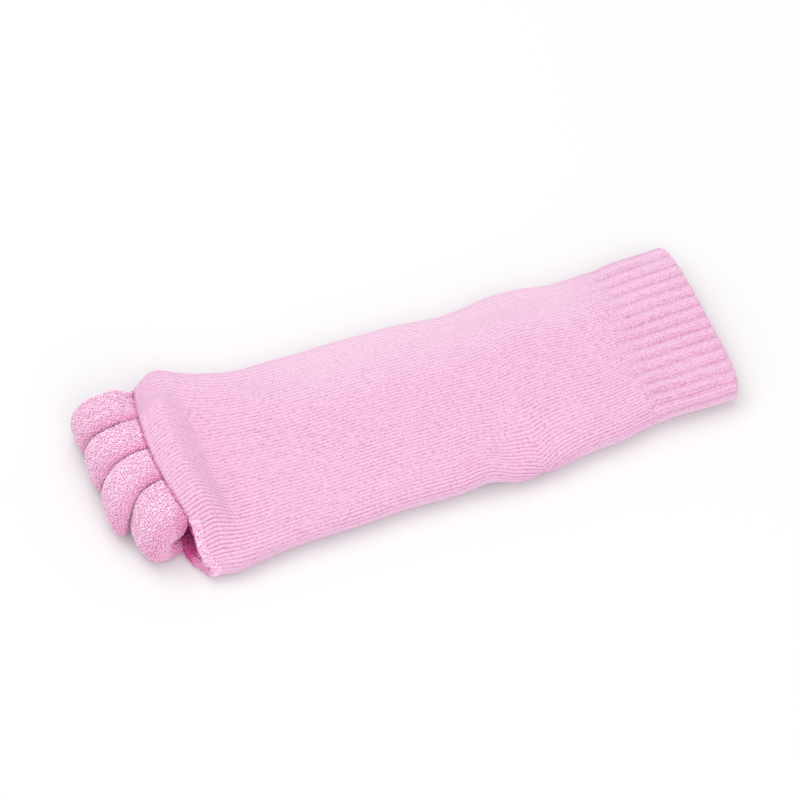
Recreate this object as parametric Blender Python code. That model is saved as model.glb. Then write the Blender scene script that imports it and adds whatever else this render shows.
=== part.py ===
"""Toe sock lying on its sole: a knitted tube with a ribbed cuff and terry toe separators.

Units are metres. X runs from the toes to the cuff, Y across the sock, Z up from the table.
The side towards -Y is the near side, the side towards +Y is the far side.
"""

import math
from collections import namedtuple

import bmesh
import bpy
import numpy as np
from mathutils import Matrix, Vector

# Lengths along the sock, from the toe mouth to the cuff's edge
foot_length = 0.136
leg_length = 0.049
cuff_length = 0.037

# Sizes of the flattened tube
foot_width = 0.080
lying_height = 0.0115
fabric_wall = 0.003

# Toe mouth: its lips are drawn back at the sides, and on the near side the lower one juts out
toe_mouth_width = 0.088
upper_lip_setback = 0.0076
upper_lip_power = 2
lower_lip_setback = 0.0041
lower_lip_power = 3
lip_band_share = 0.30
lip_front_share = 0.126
lip_fade_share = 0.22

# Ribs of the cuff
rib_count = 30
rib_depth = 0.0007
rib_fade_share = 0.10
cuff_corner_setback = 0.003
cuff_corner_power = 6

# Toe separators: terry rolls folded into a U between the two layers of the mouth
separator_reach = 0.0214
separator_height = 0.0208
separator_thickness = 0.0095
separator_root_thickness = 0.004
separator_plump_length = 0.008
separator_lean = 0.003
separator_side_squareness = 2.8
separator_top_squareness = 2.0
separator_bottom_squareness = 3.4
cleft_gap = 0.0005

# Heel pocket, folded flat under the ankle
pocket_length = 0.032
pocket_width = 0.056
pocket_setback = 0.003

# Clearances between pieces that are sewn or lie against each other
seam_gap = 0.0003
pocket_gap = 0.0005

# Mesh fineness
columns_per_rib = 4
tube_columns = 56
separator_columns = 14
separator_arm_steps = 5
separator_bend_steps = 9
pocket_columns = 24

# Shape of a section's shoulders, as shares of its flat stretch
near_shoulder = 0.36
far_shoulder = 0.20
underside_shoulder = 0.15

# A row for each cross-section. along: 0 to 1 is the foot, 1 to 2 the leg and 2 to 3 the cuff.
# sideways and width are shares of foot_width, the heights are shares of lying_height.
Section = namedtuple("Section", "along sideways width near_height far_height crown lift near_lift")
SECTIONS = (
    Section(0.00, 0.016, 1.100, 0.68, 1.18, 1.68, 0.00, 0.00),
    Section(0.035, 0.036, 1.142, 0.73, 1.34, 1.84, 0.00, 0.00),
    Section(0.07, 0.045, 1.152, 0.78, 1.40, 1.90, 0.00, 0.00),
    Section(0.10, 0.045, 1.144, 0.80, 1.32, 1.62, 0.00, 0.00),
    Section(0.15, 0.036, 1.110, 0.83, 1.17, 1.20, 0.00, 0.00),
    Section(0.20, 0.026, 1.078, 0.86, 1.00, 1.05, 0.00, 0.00),
    Section(0.30, 0.013, 1.018, 0.87, 0.87, 1.01, 0.00, 0.00),
    Section(0.42, 0.005, 1.010, 0.87, 0.87, 1.00, 0.00, 0.00),
    Section(0.60, 0.005, 0.997, 0.87, 0.87, 1.00, 0.00, 0.00),
    Section(0.78, -0.006, 0.997, 0.87, 0.87, 1.00, 0.00, 0.00),
    Section(0.86, -0.014, 0.984, 0.87, 0.87, 1.05, 0.06, 0.16),
    Section(0.93, -0.036, 1.000, 0.87, 0.87, 1.14, 0.16, 0.00),
    Section(1.00, -0.037, 1.014, 0.87, 0.87, 1.20, 0.20, 0.00),
    Section(1.20, -0.018, 1.018, 0.89, 0.87, 1.19, 0.20, 0.00),
    Section(1.45, -0.013, 0.992, 0.90, 0.87, 1.11, 0.13, 0.00),
    Section(1.70, -0.022, 0.954, 0.91, 0.87, 1.03, 0.00, 0.00),
    Section(2.00, -0.010, 0.920, 0.92, 0.87, 1.00, 0.00, 0.00),
    Section(2.40, -0.004, 0.938, 0.95, 0.90, 1.00, 0.00, 0.00),
    Section(3.00, -0.002, 0.948, 0.97, 0.92, 1.02, 0.00, 0.00),
)
TUBE_STATIONS = (
    0.00, 0.02, 0.035, 0.055, 0.07, 0.085, 0.10, 0.125, 0.15, 0.175, 0.20, 0.25, 0.30, 0.42, 0.60, 0.78,
    0.82, 0.86, 0.895, 0.93, 1.00, 1.10, 1.20, 1.32, 1.45, 1.57, 1.70, 2.00,
)
CUFF_STATIONS = (2.00, 2.10, 2.40, 2.70, 3.00)

# The clefts between neighbouring separators, from the far side to the near side: where each
# lies at the upper lip, at the lower lip and at the tips, as shares of toe_mouth_width, and how
# late it spreads from a lip to the tips.
Cleft = namedtuple("Cleft", "root foot tip lateness")
CLEFTS = (
    Cleft(0.462, 0.372, 0.466, 1.5),
    Cleft(0.280, 0.278, 0.276, 1.0),
    Cleft(0.119, 0.108, 0.057, 2.0),
    Cleft(-0.047, -0.072, -0.192, 2.0),
    Cleft(-0.246, -0.311, -0.346, 0.5),
)

# A row for each separator: shares of separator_reach, separator_height and separator_lean.
Roll = namedtuple("Roll", "reach height lean")
ROLLS = (
    Roll(1.00, 1.00, 1.00),
    Roll(0.98, 0.98, 1.00),
    Roll(0.95, 0.96, 1.00),
    Roll(0.70, 0.88, 0.50),
)

KNIT_PINK = (0.86, 0.52, 0.73, 1.0)
TERRY_PINK = (0.83, 0.46, 0.69, 1.0)


def ease(share):
    """Smooth step from 0 to 1."""
    share = np.clip(share, 0.0, 1.0)
    return share * share * (3.0 - 2.0 * share)


def plateau(share, rise, fall):
    """0 at both ends and 1 between them, reached over the shares rise and fall."""
    return ease(share / rise) * ease((1.0 - share) / fall)


def section_value(along, column):
    """A column of SECTIONS at any place along the sock, on a smooth curve through its rows."""
    places = np.array([row.along for row in SECTIONS])
    values = np.array([getattr(row, column) for row in SECTIONS])
    slopes = np.gradient(values, places)
    i = int(np.clip(np.searchsorted(places, along, side="right") - 1, 0, len(places) - 2))
    span = places[i + 1] - places[i]
    t = (along - places[i]) / span
    return (
        (1 + 2 * t) * (1 - t) ** 2 * values[i]
        + t * (1 - t) ** 2 * span * slopes[i]
        + t * t * (3 - 2 * t) * values[i + 1]
        + t * t * (t - 1) * span * slopes[i + 1]
    )


def length_at(along):
    """Distance from the toe mouth: the foot, then the leg, then the cuff."""
    foot = min(along, 1.0) * foot_length
    leg = min(max(along - 1.0, 0.0), 1.0) * leg_length
    return foot + leg + max(along - 2.0, 0.0) * cuff_length


def widest_at(along):
    """Width of the flattened tube. The toe mouth has its own width, the rest follows the foot's."""
    mouth = toe_mouth_width / (SECTIONS[0].width * foot_width)
    swell = mouth + (1.0 - mouth) * ease(along / lip_fade_share)
    return section_value(along, "width") * foot_width * swell


class Profile:
    """The cross-section at one place: two folds, a top layer and an underside, inset by a wall."""

    def __init__(self, along, inset=0.0):
        half = widest_at(along) / 2
        self.middle = section_value(along, "sideways") * foot_width
        near_height = section_value(along, "near_height") * lying_height
        far_height = section_value(along, "far_height") * lying_height
        self.crown = section_value(along, "crown") * lying_height
        self.lift = max(section_value(along, "lift"), 0.0) * lying_height
        self.near_lift = max(section_value(along, "near_lift"), 0.0) * lying_height
        self.inset = inset
        self.near_radius = near_height / 2
        self.far_radius = far_height / 2
        self.near_line = self.middle - half + self.near_radius
        self.far_line = self.middle + half - self.far_radius

    def share(self, y):
        """Where y lies on the flat stretch, from 0 at the near fold to 1 at the far fold."""
        return (y - self.near_line) / (self.far_line - self.near_line)

    def top(self, y):
        share = self.share(y)
        near_top = self.near_lift + 2 * self.near_radius
        straight = near_top + (2 * self.far_radius - near_top) * share
        return straight + (self.crown - straight) * plateau(share, near_shoulder, far_shoulder)

    def underside(self, y):
        share = np.clip(self.share(y), 0.0, 1.0)
        raised = self.lift * plateau(share, underside_shoulder, underside_shoulder)
        return raised + self.near_lift * (1.0 - share) ** 6

    def fold(self, y, radius, floor, start, end):
        """A half circle round one side, at the inset's smaller radius."""
        angles = np.linspace(start, end, 25)
        inner = radius - self.inset
        return np.column_stack((y + inner * np.cos(angles), floor + radius + inner * np.sin(angles)))

    def outline(self):
        """Closed line of (y, z), from the underside's middle round the near side, over the top."""
        near = np.linspace(self.middle, self.near_line, 24)
        far = np.linspace(self.far_line, self.middle, 24)
        over = np.linspace(self.near_line, self.far_line, 48)
        pieces = (
            np.column_stack((near, self.underside(near) + self.inset)),
            self.fold(self.near_line, self.near_radius, self.near_lift, -math.pi / 2, -3 * math.pi / 2),
            np.column_stack((over, self.top(over) - self.inset)),
            self.fold(self.far_line, self.far_radius, 0.0, math.pi / 2, -math.pi / 2),
            np.column_stack((far, self.underside(far) + self.inset)),
        )
        return np.vstack(pieces)


def spread_evenly(line, count):
    """count points at equal distances along a closed line."""
    steps = np.linalg.norm(np.diff(line, axis=0), axis=1)
    walked = np.concatenate(((0.0,), np.cumsum(steps)))
    at = np.linspace(0.0, walked[-1], count, endpoint=False)
    return np.column_stack([np.interp(at, walked, line[:, axis]) for axis in (0, 1)])


def lip_drawback(y, upper):
    """How far the toe mouth's rim lies behind its foremost point: upper is 0 below and 1 on top."""
    front = foot_width * SECTIONS[0].sideways + lip_front_share * toe_mouth_width
    out = np.abs((y - front) / (toe_mouth_width / 2))
    upper_lip = upper_lip_setback * out ** upper_lip_power
    lower_lip = np.where(y < front, lower_lip_setback * out ** lower_lip_power, upper_lip)
    return lower_lip + (upper_lip - lower_lip) * upper


def lip_share(y, z):
    """0 at the lower lip and 1 at the upper lip, turning from one to the other between them."""
    height = z / Profile(0.0).top(y)
    return ease((height - lip_band_share) / (1.0 - 2 * lip_band_share))


def ring(along, inset, count, rib_height=0.0):
    """Points of one cross-section, with ribs that swing by rib_height to both sides of the wall."""
    points = spread_evenly(Profile(along, inset).outline(), count)
    if rib_height:
        forward = np.roll(points, -1, axis=0) - np.roll(points, 1, axis=0)
        outward = np.column_stack((forward[:, 1], -forward[:, 0]))
        outward /= np.linalg.norm(outward, axis=1)[:, None]
        phase = 2 * math.pi * np.arange(count) / columns_per_rib
        points = points - outward * (rib_height * np.cos(phase))[:, None]
    y, z = points[:, 0], points[:, 1]
    drawback = lip_drawback(y, lip_share(y, z)) * (1.0 - ease(along / lip_fade_share))
    corner = np.abs(y - section_value(along, "sideways") * foot_width) / (widest_at(along) / 2)
    cut = cuff_corner_setback * corner ** cuff_corner_power * ease(along - CUFF_STATIONS[0])
    return np.column_stack((length_at(along) + drawback - cut, points))


def add_object(name, mesh_data, colour):
    """Writes a bmesh to a named object with its own cloth material."""
    bmesh.ops.recalc_face_normals(mesh_data, faces=mesh_data.faces)
    mesh = bpy.data.meshes.new(name)
    mesh_data.to_mesh(mesh)
    mesh_data.free()
    mesh.shade_smooth()
    mesh.set_sharp_from_angle(angle=math.radians(50))
    material = bpy.data.materials.new(name)
    material.use_nodes = True
    shader = material.node_tree.nodes["Principled BSDF"]
    shader.inputs["Base Color"].default_value = colour
    shader.inputs["Roughness"].default_value = 0.95
    shader.inputs["Metallic"].default_value = 0.0
    mesh.materials.append(material)
    cloth = bpy.data.objects.new(name, mesh)
    bpy.context.scene.collection.objects.link(cloth)
    return cloth


def skin(mesh_data, rings):
    """Joins rings of equal count, one after the other, with four-sided faces."""
    loops = [[mesh_data.verts.new(point) for point in points] for points in rings]
    for first, second in zip(loops, loops[1:]):
        for i in range(len(first)):
            j = (i + 1) % len(first)
            mesh_data.faces.new((first[i], first[j], second[j], second[i]))
    return loops


def hollow_tube(name, outer, inner, colour):
    """A tube with a wall: the outer rings out, the inner rings back, and a rim at both ends."""
    mesh_data = bmesh.new()
    rings = list(outer) + list(reversed(inner))
    loops = skin(mesh_data, rings)
    last, first = loops[-1], loops[0]
    for i in range(len(first)):
        j = (i + 1) % len(first)
        mesh_data.faces.new((last[i], last[j], first[j], first[i]))
    return add_object(name, mesh_data, colour)


def sock_tube():
    """Plain knit of the foot and the leg, open at the toe mouth and where the cuff begins."""
    outer = [ring(along, 0.0, tube_columns) for along in TUBE_STATIONS]
    inner = [ring(along, fabric_wall, tube_columns) for along in TUBE_STATIONS]
    return hollow_tube("sock_tube", outer, inner, KNIT_PINK)


def rib_cuff():
    """Ribbed band at the top of the leg, a seam's gap away from the plain knit."""
    columns = rib_count * columns_per_rib

    def rings(inset):
        made = []
        for along in CUFF_STATIONS:
            height = rib_depth * float(ease((along - CUFF_STATIONS[0]) / rib_fade_share))
            points = ring(along, inset, columns, height)
            if along == CUFF_STATIONS[0]:
                points[:, 0] += seam_gap
            made.append(points)
        return made

    return hollow_tube("rib_cuff", rings(rib_depth), rings(fabric_wall - rib_depth), KNIT_PINK)


def cleft_line(cleft, share, low):
    """Y of a cleft, from the rim (share 0) to the tips (share 1). low is 1 on the table."""
    mouth_middle = SECTIONS[0].sideways * foot_width
    lip = cleft.root + (cleft.foot - cleft.root) * low
    return mouth_middle + toe_mouth_width * (lip + (cleft.tip - lip) * share ** cleft.lateness)


def squared(wave, squareness):
    """Sines or cosines bent so that the circle they belong to turns squarer. 2 leaves it round."""
    return np.copysign(np.abs(wave) ** (2 / squareness), wave)


def separator_stations(reach, height):
    """Places along the U from the top root, over the bend, to the bottom root.

    Each is a distance forward on the arm, and a direction (forward, up) from the bend's centre.
    """
    bend_radius = (height - separator_thickness) / 2
    arm = reach - separator_thickness / 2 - bend_radius
    arm_places = [arm * step / separator_arm_steps for step in range(separator_arm_steps)]
    top = [(place, 0.0, 1.0) for place in arm_places]
    bend = []
    for angle in np.linspace(math.pi / 2, -math.pi / 2, separator_bend_steps):
        squareness = separator_top_squareness if angle > 0 else separator_bottom_squareness
        ahead = squared(math.cos(angle), squareness)
        bend.append((arm, ahead, squared(math.sin(angle), squareness)))
    bottom = [(place, 0.0, -1.0) for place in reversed(arm_places)]
    return top + bend + bottom


def separator(number, roll, far_cleft, near_cleft):
    """One terry roll, sewn to the rim of the top layer, folded forward and sewn to the underside."""
    reach = roll.reach * separator_reach
    height = roll.height * separator_height
    bend_radius = (height - separator_thickness) / 2
    mouth = Profile(0.0)
    rings = []
    for arm_place, ahead, up in separator_stations(reach, height):
        place = arm_place + bend_radius * ahead
        plump = math.sin(math.pi / 2 * min(place / separator_plump_length, 1.0))
        thickness = separator_root_thickness + plump * (separator_thickness - separator_root_thickness)
        turns = np.linspace(0, 2 * math.pi, separator_columns, endpoint=False)
        across = squared(np.cos(turns), separator_side_squareness)
        out = thickness / 2 * squared(np.sin(turns), separator_side_squareness)
        spread = float(ease(place / reach))
        forward = place + out * ahead + roll.lean * separator_lean * spread * (1.0 - up) / 2
        z = height / 2 + (height / 2 - thickness / 2 + out) * up
        splayed = ease(forward / (separator_reach + separator_lean))
        low = 1.0 - z / separator_height
        far_edge = cleft_line(far_cleft, splayed, low) - cleft_gap / 2
        near_edge = cleft_line(near_cleft, splayed, low) + cleft_gap / 2
        y = (far_edge + near_edge) / 2 + (far_edge - near_edge) / 2 * across
        if up > 0:
            z = z + (mouth.top(y) - height) * (1.0 - float(ease(place / separator_plump_length)))
        x = lip_drawback(y, float(up > 0)) * (1.0 - spread) - seam_gap - forward
        rings.append(np.column_stack((x, y, z)))
    mesh_data = bmesh.new()
    loops = skin(mesh_data, rings)
    mesh_data.faces.new(loops[0])
    mesh_data.faces.new(loops[-1])
    return add_object(f"toe_separator_{number}", mesh_data, TERRY_PINK)


def heel_pocket():
    """The heel's knitted pocket, an oval folded flat between the table and the raised underside."""

    def along_at(x):
        if x < foot_length:
            return x / foot_length
        return 1.0 + (x - foot_length) / leg_length

    reach = foot_length + pocket_setback
    centre = Vector((reach, Profile(along_at(reach)).middle))

    def oval(share, upper):
        turns = np.linspace(0, 2 * math.pi, pocket_columns, endpoint=False)
        x = centre.x + share * pocket_length / 2 * np.cos(turns)
        y = centre.y + share * pocket_width / 2 * np.sin(turns)
        z = [Profile(along_at(a)).underside(b) - pocket_gap if upper else 0.0 for a, b in zip(x, y)]
        return np.column_stack((x, y, z))

    shares = (0.35, 0.70, 0.90, 1.0)
    mesh_data = bmesh.new()
    rings = [oval(share, True) for share in shares] + [oval(share, False) for share in reversed(shares)]
    loops = skin(mesh_data, rings)
    mesh_data.faces.new(loops[0])
    mesh_data.faces.new(loops[-1])
    return add_object("heel_pocket", mesh_data, KNIT_PINK)


def centre_on_table(pieces):
    """Puts the middle of the whole sock's box over the origin, standing on the table."""
    corners = np.array([vertex.co for piece in pieces for vertex in piece.data.vertices])
    low, high = corners.min(axis=0), corners.max(axis=0)
    shift = Vector((-(low[0] + high[0]) / 2, -(low[1] + high[1]) / 2, -low[2]))
    for piece in pieces:
        piece.data.transform(Matrix.Translation(shift))


def main():
    for leftover in list(bpy.data.objects):
        bpy.data.objects.remove(leftover)
    pieces = [sock_tube(), rib_cuff(), heel_pocket()]
    for number, roll in enumerate(ROLLS, start=1):
        pieces.append(separator(number, roll, CLEFTS[number - 1], CLEFTS[number]))
    centre_on_table(pieces)


main()
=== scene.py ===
"""Looks of a knitted toe sock: plain knit, ribbed cuff, heel pocket and terry toe separators.

Units are metres. X runs from the toes to the cuff, Y across the sock, Z up from the table.
The side towards -Y is the near side, the side towards +Y is the far side.
"""

import math
from collections import namedtuple

import bpy
import numpy as np
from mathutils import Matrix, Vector
from mathutils.bvhtree import BVHTree


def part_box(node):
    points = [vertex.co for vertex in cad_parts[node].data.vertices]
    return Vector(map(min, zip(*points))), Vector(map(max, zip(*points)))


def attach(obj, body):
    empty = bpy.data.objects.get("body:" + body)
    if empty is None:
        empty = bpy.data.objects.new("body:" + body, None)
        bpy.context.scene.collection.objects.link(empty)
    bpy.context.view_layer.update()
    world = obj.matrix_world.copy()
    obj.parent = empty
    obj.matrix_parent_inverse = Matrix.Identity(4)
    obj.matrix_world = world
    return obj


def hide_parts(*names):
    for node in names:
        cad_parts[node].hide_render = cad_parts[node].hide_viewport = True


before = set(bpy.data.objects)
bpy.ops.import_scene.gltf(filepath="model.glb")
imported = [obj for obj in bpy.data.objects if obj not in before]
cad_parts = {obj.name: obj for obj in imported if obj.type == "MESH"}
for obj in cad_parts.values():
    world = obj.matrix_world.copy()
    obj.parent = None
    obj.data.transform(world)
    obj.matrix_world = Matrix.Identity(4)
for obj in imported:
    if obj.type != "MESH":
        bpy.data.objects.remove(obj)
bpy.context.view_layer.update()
bpy.ops.object.select_all(action="DESELECT")


# Sock tube
# The foot and leg: one tube of plain knit in pink cotton yarn with a terry inside, machine-knitted in
# the round. It lies pressed flat on its sole, and its toe end stands open round the separators.

foot_length = 0.136
leg_length = 0.049
cuff_length = 0.037
foot_width = 0.080
lying_height = 0.0115
fabric_wall = 0.003
toe_mouth_width = 0.088
upper_lip_setback = 0.0076
upper_lip_power = 2
lower_lip_setback = 0.0010
lower_lip_power = 3
near_corner_back = 0.0042
near_corner_start = 0.90
near_corner_run = 0.35
near_lip_forward = 0.0048
near_lip_start = 0.74
near_lip_run = 0.42
near_corner_pinch = 0.0024
pinch_start = 0.70
pinch_run = 0.30
near_corner_length = 0.012
lip_band_share = 0.30
lip_front_share = 0.126
lip_fade_share = 0.22
cuff_corner_setback = 0.003
cuff_corner_power = 6
seam_gap = 0.0003
near_shoulder = 0.36
far_shoulder = 0.20
underside_shoulder = 0.15

wale_count = 120
columns_per_wale = 4
course_pitch = 0.0012
ring_pitch = 0.0016
inner_ring_pitch = 0.005
wale_ridge = 0.00013
tube_slack = 0.00016
rim_bulge = 0.0010
rim_steps = 6
rim_arc = 0.0032

heel_gore_x = 0.1372
heel_gore_dip = 0.030
heel_gore_length = 0.0075
heel_gore_girth = 0.12
heel_gore_span = 0.30
heel_gore_crease = 0.0011
heel_gore_crease_length = 0.0022
toe_dip = 0.0027
toe_dip_x = 0.0205
toe_dip_length = 0.0050

rib_count = 30
rib_relief_height = 0.00065
rib_start_near = 0.180
rib_start_far = 0.186
rib_start_stagger = 0.0015
rib_fade_length = 0.009

Section = namedtuple("Section", "along sideways width near_height far_height crown lift near_lift")
SECTIONS = (
    Section(0.00, 0.016, 1.100, 0.68, 1.18, 1.68, 0.00, 0.00),
    Section(0.035, 0.036, 1.142, 0.73, 1.34, 1.84, 0.00, 0.00),
    Section(0.07, 0.045, 1.152, 0.78, 1.40, 1.90, 0.00, 0.00),
    Section(0.10, 0.045, 1.144, 0.80, 1.32, 1.62, 0.00, 0.00),
    Section(0.15, 0.036, 1.110, 0.83, 1.17, 1.20, 0.00, 0.00),
    Section(0.20, 0.026, 1.078, 0.86, 1.00, 1.05, 0.00, 0.00),
    Section(0.30, 0.013, 1.018, 0.87, 0.87, 1.01, 0.00, 0.00),
    Section(0.42, 0.005, 1.010, 0.87, 0.87, 1.00, 0.00, 0.00),
    Section(0.60, 0.005, 0.997, 0.87, 0.87, 1.00, 0.00, 0.00),
    Section(0.78, -0.006, 0.997, 0.87, 0.87, 1.00, 0.00, 0.00),
    Section(0.86, -0.014, 0.984, 0.87, 0.87, 1.05, 0.06, 0.16),
    Section(0.93, -0.036, 1.000, 0.87, 0.87, 1.14, 0.16, 0.00),
    Section(1.00, -0.037, 1.014, 0.87, 0.87, 1.20, 0.20, 0.00),
    Section(1.20, -0.018, 1.018, 0.89, 0.87, 1.19, 0.20, 0.00),
    Section(1.45, -0.013, 0.992, 0.90, 0.87, 1.11, 0.13, 0.00),
    Section(1.70, -0.022, 0.954, 0.91, 0.87, 1.03, 0.00, 0.00),
    Section(2.00, -0.010, 0.920, 0.92, 0.87, 1.00, 0.00, 0.00),
    Section(2.40, -0.004, 0.938, 0.95, 0.90, 1.00, 0.00, 0.00),
    Section(3.00, -0.002, 0.948, 0.97, 0.92, 1.02, 0.00, 0.00),
)

tube_low, tube_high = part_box("sock_tube")
mouth_x = tube_low.x


def ease(share):
    """Smooth step from 0 to 1."""
    share = np.clip(share, 0.0, 1.0)
    return share * share * (3.0 - 2.0 * share)


def plateau(share, rise, fall):
    """0 at both ends and 1 between them, reached over the shares rise and fall."""
    return ease(share / rise) * ease((1.0 - share) / fall)


def section_value(along, column):
    """A column of SECTIONS at any place along the sock, on a smooth curve through its rows."""
    places = np.array([row.along for row in SECTIONS])
    values = np.array([getattr(row, column) for row in SECTIONS])
    slopes = np.gradient(values, places)
    i = int(np.clip(np.searchsorted(places, along, side="right") - 1, 0, len(places) - 2))
    span = places[i + 1] - places[i]
    t = (along - places[i]) / span
    return (
        (1 + 2 * t) * (1 - t) ** 2 * values[i]
        + t * (1 - t) ** 2 * span * slopes[i]
        + t * t * (3 - 2 * t) * values[i + 1]
        + t * t * (t - 1) * span * slopes[i + 1]
    )


def length_at(along):
    """Distance from the toe mouth: the foot, then the leg, then the cuff."""
    foot = min(along, 1.0) * foot_length
    leg = min(max(along - 1.0, 0.0), 1.0) * leg_length
    return foot + leg + max(along - 2.0, 0.0) * cuff_length


def along_at(length):
    """The other way round: 0 to 1 on the foot, 1 to 2 on the leg and 2 to 3 on the cuff."""
    if length < foot_length:
        return length / foot_length
    if length < foot_length + leg_length:
        return 1.0 + (length - foot_length) / leg_length
    return 2.0 + (length - foot_length - leg_length) / cuff_length


def widest_at(along):
    """Width of the flattened tube. The toe mouth has its own width, the rest follows the foot's."""
    mouth = toe_mouth_width / (SECTIONS[0].width * foot_width)
    swell = mouth + (1.0 - mouth) * ease(along / lip_fade_share)
    return section_value(along, "width") * foot_width * swell


class Profile:
    """The cross-section at one place: two folds, a top layer and an underside, inset by a wall."""

    def __init__(self, along, inset=0.0):
        half = widest_at(along) / 2
        self.middle = section_value(along, "sideways") * foot_width
        self.crown = section_value(along, "crown") * lying_height
        self.lift = max(section_value(along, "lift"), 0.0) * lying_height
        self.near_lift = max(section_value(along, "near_lift"), 0.0) * lying_height
        self.inset = inset
        self.near_radius = section_value(along, "near_height") * lying_height / 2
        self.far_radius = section_value(along, "far_height") * lying_height / 2
        self.near_line = self.middle - half + self.near_radius
        self.far_line = self.middle + half - self.far_radius

    def share(self, y):
        """Where y lies on the flat stretch, from 0 at the near fold to 1 at the far fold."""
        return (y - self.near_line) / (self.far_line - self.near_line)

    def top(self, y):
        share = self.share(y)
        near_top = self.near_lift + 2 * self.near_radius
        straight = near_top + (2 * self.far_radius - near_top) * share
        return straight + (self.crown - straight) * plateau(share, near_shoulder, far_shoulder)

    def underside(self, y):
        share = np.clip(self.share(y), 0.0, 1.0)
        raised = self.lift * plateau(share, underside_shoulder, underside_shoulder)
        return raised + self.near_lift * (1.0 - share) ** 6

    def fold(self, y, radius, floor, start, end):
        """A half circle round one side, at the inset's smaller radius."""
        angles = np.linspace(start, end, 41)
        inner = radius - self.inset
        return np.column_stack((y + inner * np.cos(angles), floor + radius + inner * np.sin(angles)))

    def outline(self):
        """Closed line of (y, z), from the underside's middle round the near side, over the top."""
        near = np.linspace(self.middle, self.near_line, 40)
        far = np.linspace(self.far_line, self.middle, 40)
        over = np.linspace(self.near_line, self.far_line, 90)
        pieces = (
            np.column_stack((near, self.underside(near) + self.inset)),
            self.fold(self.near_line, self.near_radius, self.near_lift, -math.pi / 2, -3 * math.pi / 2),
            np.column_stack((over, self.top(over) - self.inset)),
            self.fold(self.far_line, self.far_radius, 0.0, math.pi / 2, -math.pi / 2),
            np.column_stack((far, self.underside(far) + self.inset)),
        )
        return np.vstack(pieces)


sides = [Profile(along) for along in np.linspace(0.0, 2.0, 201)]
near_side = min(side.near_line - side.near_radius for side in sides)
far_side = max(side.far_line + side.far_radius for side in sides)
centre_y = (tube_low.y + tube_high.y - near_side - far_side) / 2


def lip_drawback(y, upper):
    """How far the toe mouth's rim lies behind its foremost point: upper is 0 below and 1 on top."""
    front = foot_width * SECTIONS[0].sideways + lip_front_share * toe_mouth_width
    nearwards = (front - y) / (toe_mouth_width / 2)
    out = np.abs(nearwards)
    upper_lip = upper_lip_setback * out ** upper_lip_power
    near_upper_lip = upper_lip - near_lip_forward * ease((nearwards - near_lip_start) / near_lip_run)
    corner_back = near_corner_back * ease((nearwards - near_corner_start) / near_corner_run)
    near_lower_lip = lower_lip_setback * out ** lower_lip_power + corner_back
    lower_lip = np.where(y < front, near_lower_lip, upper_lip)
    return lower_lip + (near_upper_lip - lower_lip) * upper


def lip_share(y, z):
    """0 at the lower lip and 1 at the upper lip, turning from one to the other between them."""
    height = z / Profile(0.0).top(y)
    return ease((height - lip_band_share) / (1.0 - 2 * lip_band_share))


def gore_dip(along, girth):
    """How far the wales dip towards the near fold at the heel's gore, as a share of the girth."""
    past = np.abs(length_at(along) - heel_gore_x)
    round_fold = plateau((girth - heel_gore_girth) / heel_gore_span, 0.35, 0.55)
    return heel_gore_dip * math.exp(-past / heel_gore_length) * round_fold


def knit_ring(along, inset, columns, relief=None, forward=0.0):
    """One ring of points round the sock. relief gives each point's height over the wall."""
    line = Profile(along, inset).outline()
    steps = np.linalg.norm(np.diff(line, axis=0), axis=1)
    walked = np.concatenate(((0.0,), np.cumsum(steps)))
    girth = np.linspace(0.0, 1.0, columns + 1)
    at = (girth - gore_dip(along, girth)) * walked[-1]
    points = np.column_stack([np.interp(at, walked, line[:, axis]) for axis in (0, 1)])
    ahead = np.roll(points[:-1], -1, axis=0) - np.roll(points[:-1], 1, axis=0)
    outward = np.column_stack((ahead[:, 1], -ahead[:, 0]))
    outward /= np.linalg.norm(outward, axis=1)[:, None]
    outward = -np.vstack((outward, outward[:1]))
    if relief is not None:
        points = points + outward * relief(along, girth)[:, None]
    y = points[:, 0]
    z = points[:, 1]
    middle = section_value(along, "sideways") * foot_width
    half = widest_at(along) / 2
    drawback = lip_drawback(y, lip_share(y, z)) * (1.0 - ease(along / lip_fade_share))
    corner = np.abs(y - middle) / half
    cut = cuff_corner_setback * corner ** cuff_corner_power * ease(along - 2.0)
    x = length_at(along) + drawback - cut - forward
    near_edge = ease(((middle - y) / half - pinch_start) / pinch_run)
    pinch = near_corner_pinch * (1.0 - float(ease(length_at(along) / near_corner_length))) * near_edge
    return np.column_stack((mouth_x + x, centre_y + y + pinch, np.maximum(z, 0.00002)))


def rounded_rim(along, columns):
    """Rings round the toe mouth's edge, from the outer face of the cloth to its inner face."""
    rings = []
    for angle in np.linspace(0.0, math.pi, rim_steps + 2)[1:-1]:
        inset = fabric_wall / 2 * (1.0 - math.cos(angle))
        rings.append(knit_ring(along, inset, columns, None, rim_bulge * math.sin(angle)))
    return rings


def rib_growth(along, girth):
    """How far the cuff's ribs have grown, from 0 to 1. They start further back on the far side."""
    start = rib_start_near + (rib_start_far - rib_start_near) * ease((girth - 0.24) / 0.50)
    uneven = rib_start_stagger * np.sin(2 * math.pi * 7 * girth)
    start = start + uneven * np.sin(2 * math.pi * 3 * girth + 1.0)
    return ease((length_at(along) - start) / rib_fade_length)


def rib_swing(along, girth):
    """The cuff's ribs, from -1 in a groove to 1 on a rib."""
    swing = np.sin(2 * math.pi * rib_count * girth)
    sway = 0.75 + 0.25 * np.sin(2 * math.pi * (5 * girth + 19 * length_at(along)))
    return np.sign(swing) * np.abs(swing) ** 0.8 * rib_growth(along, girth) * sway


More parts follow.
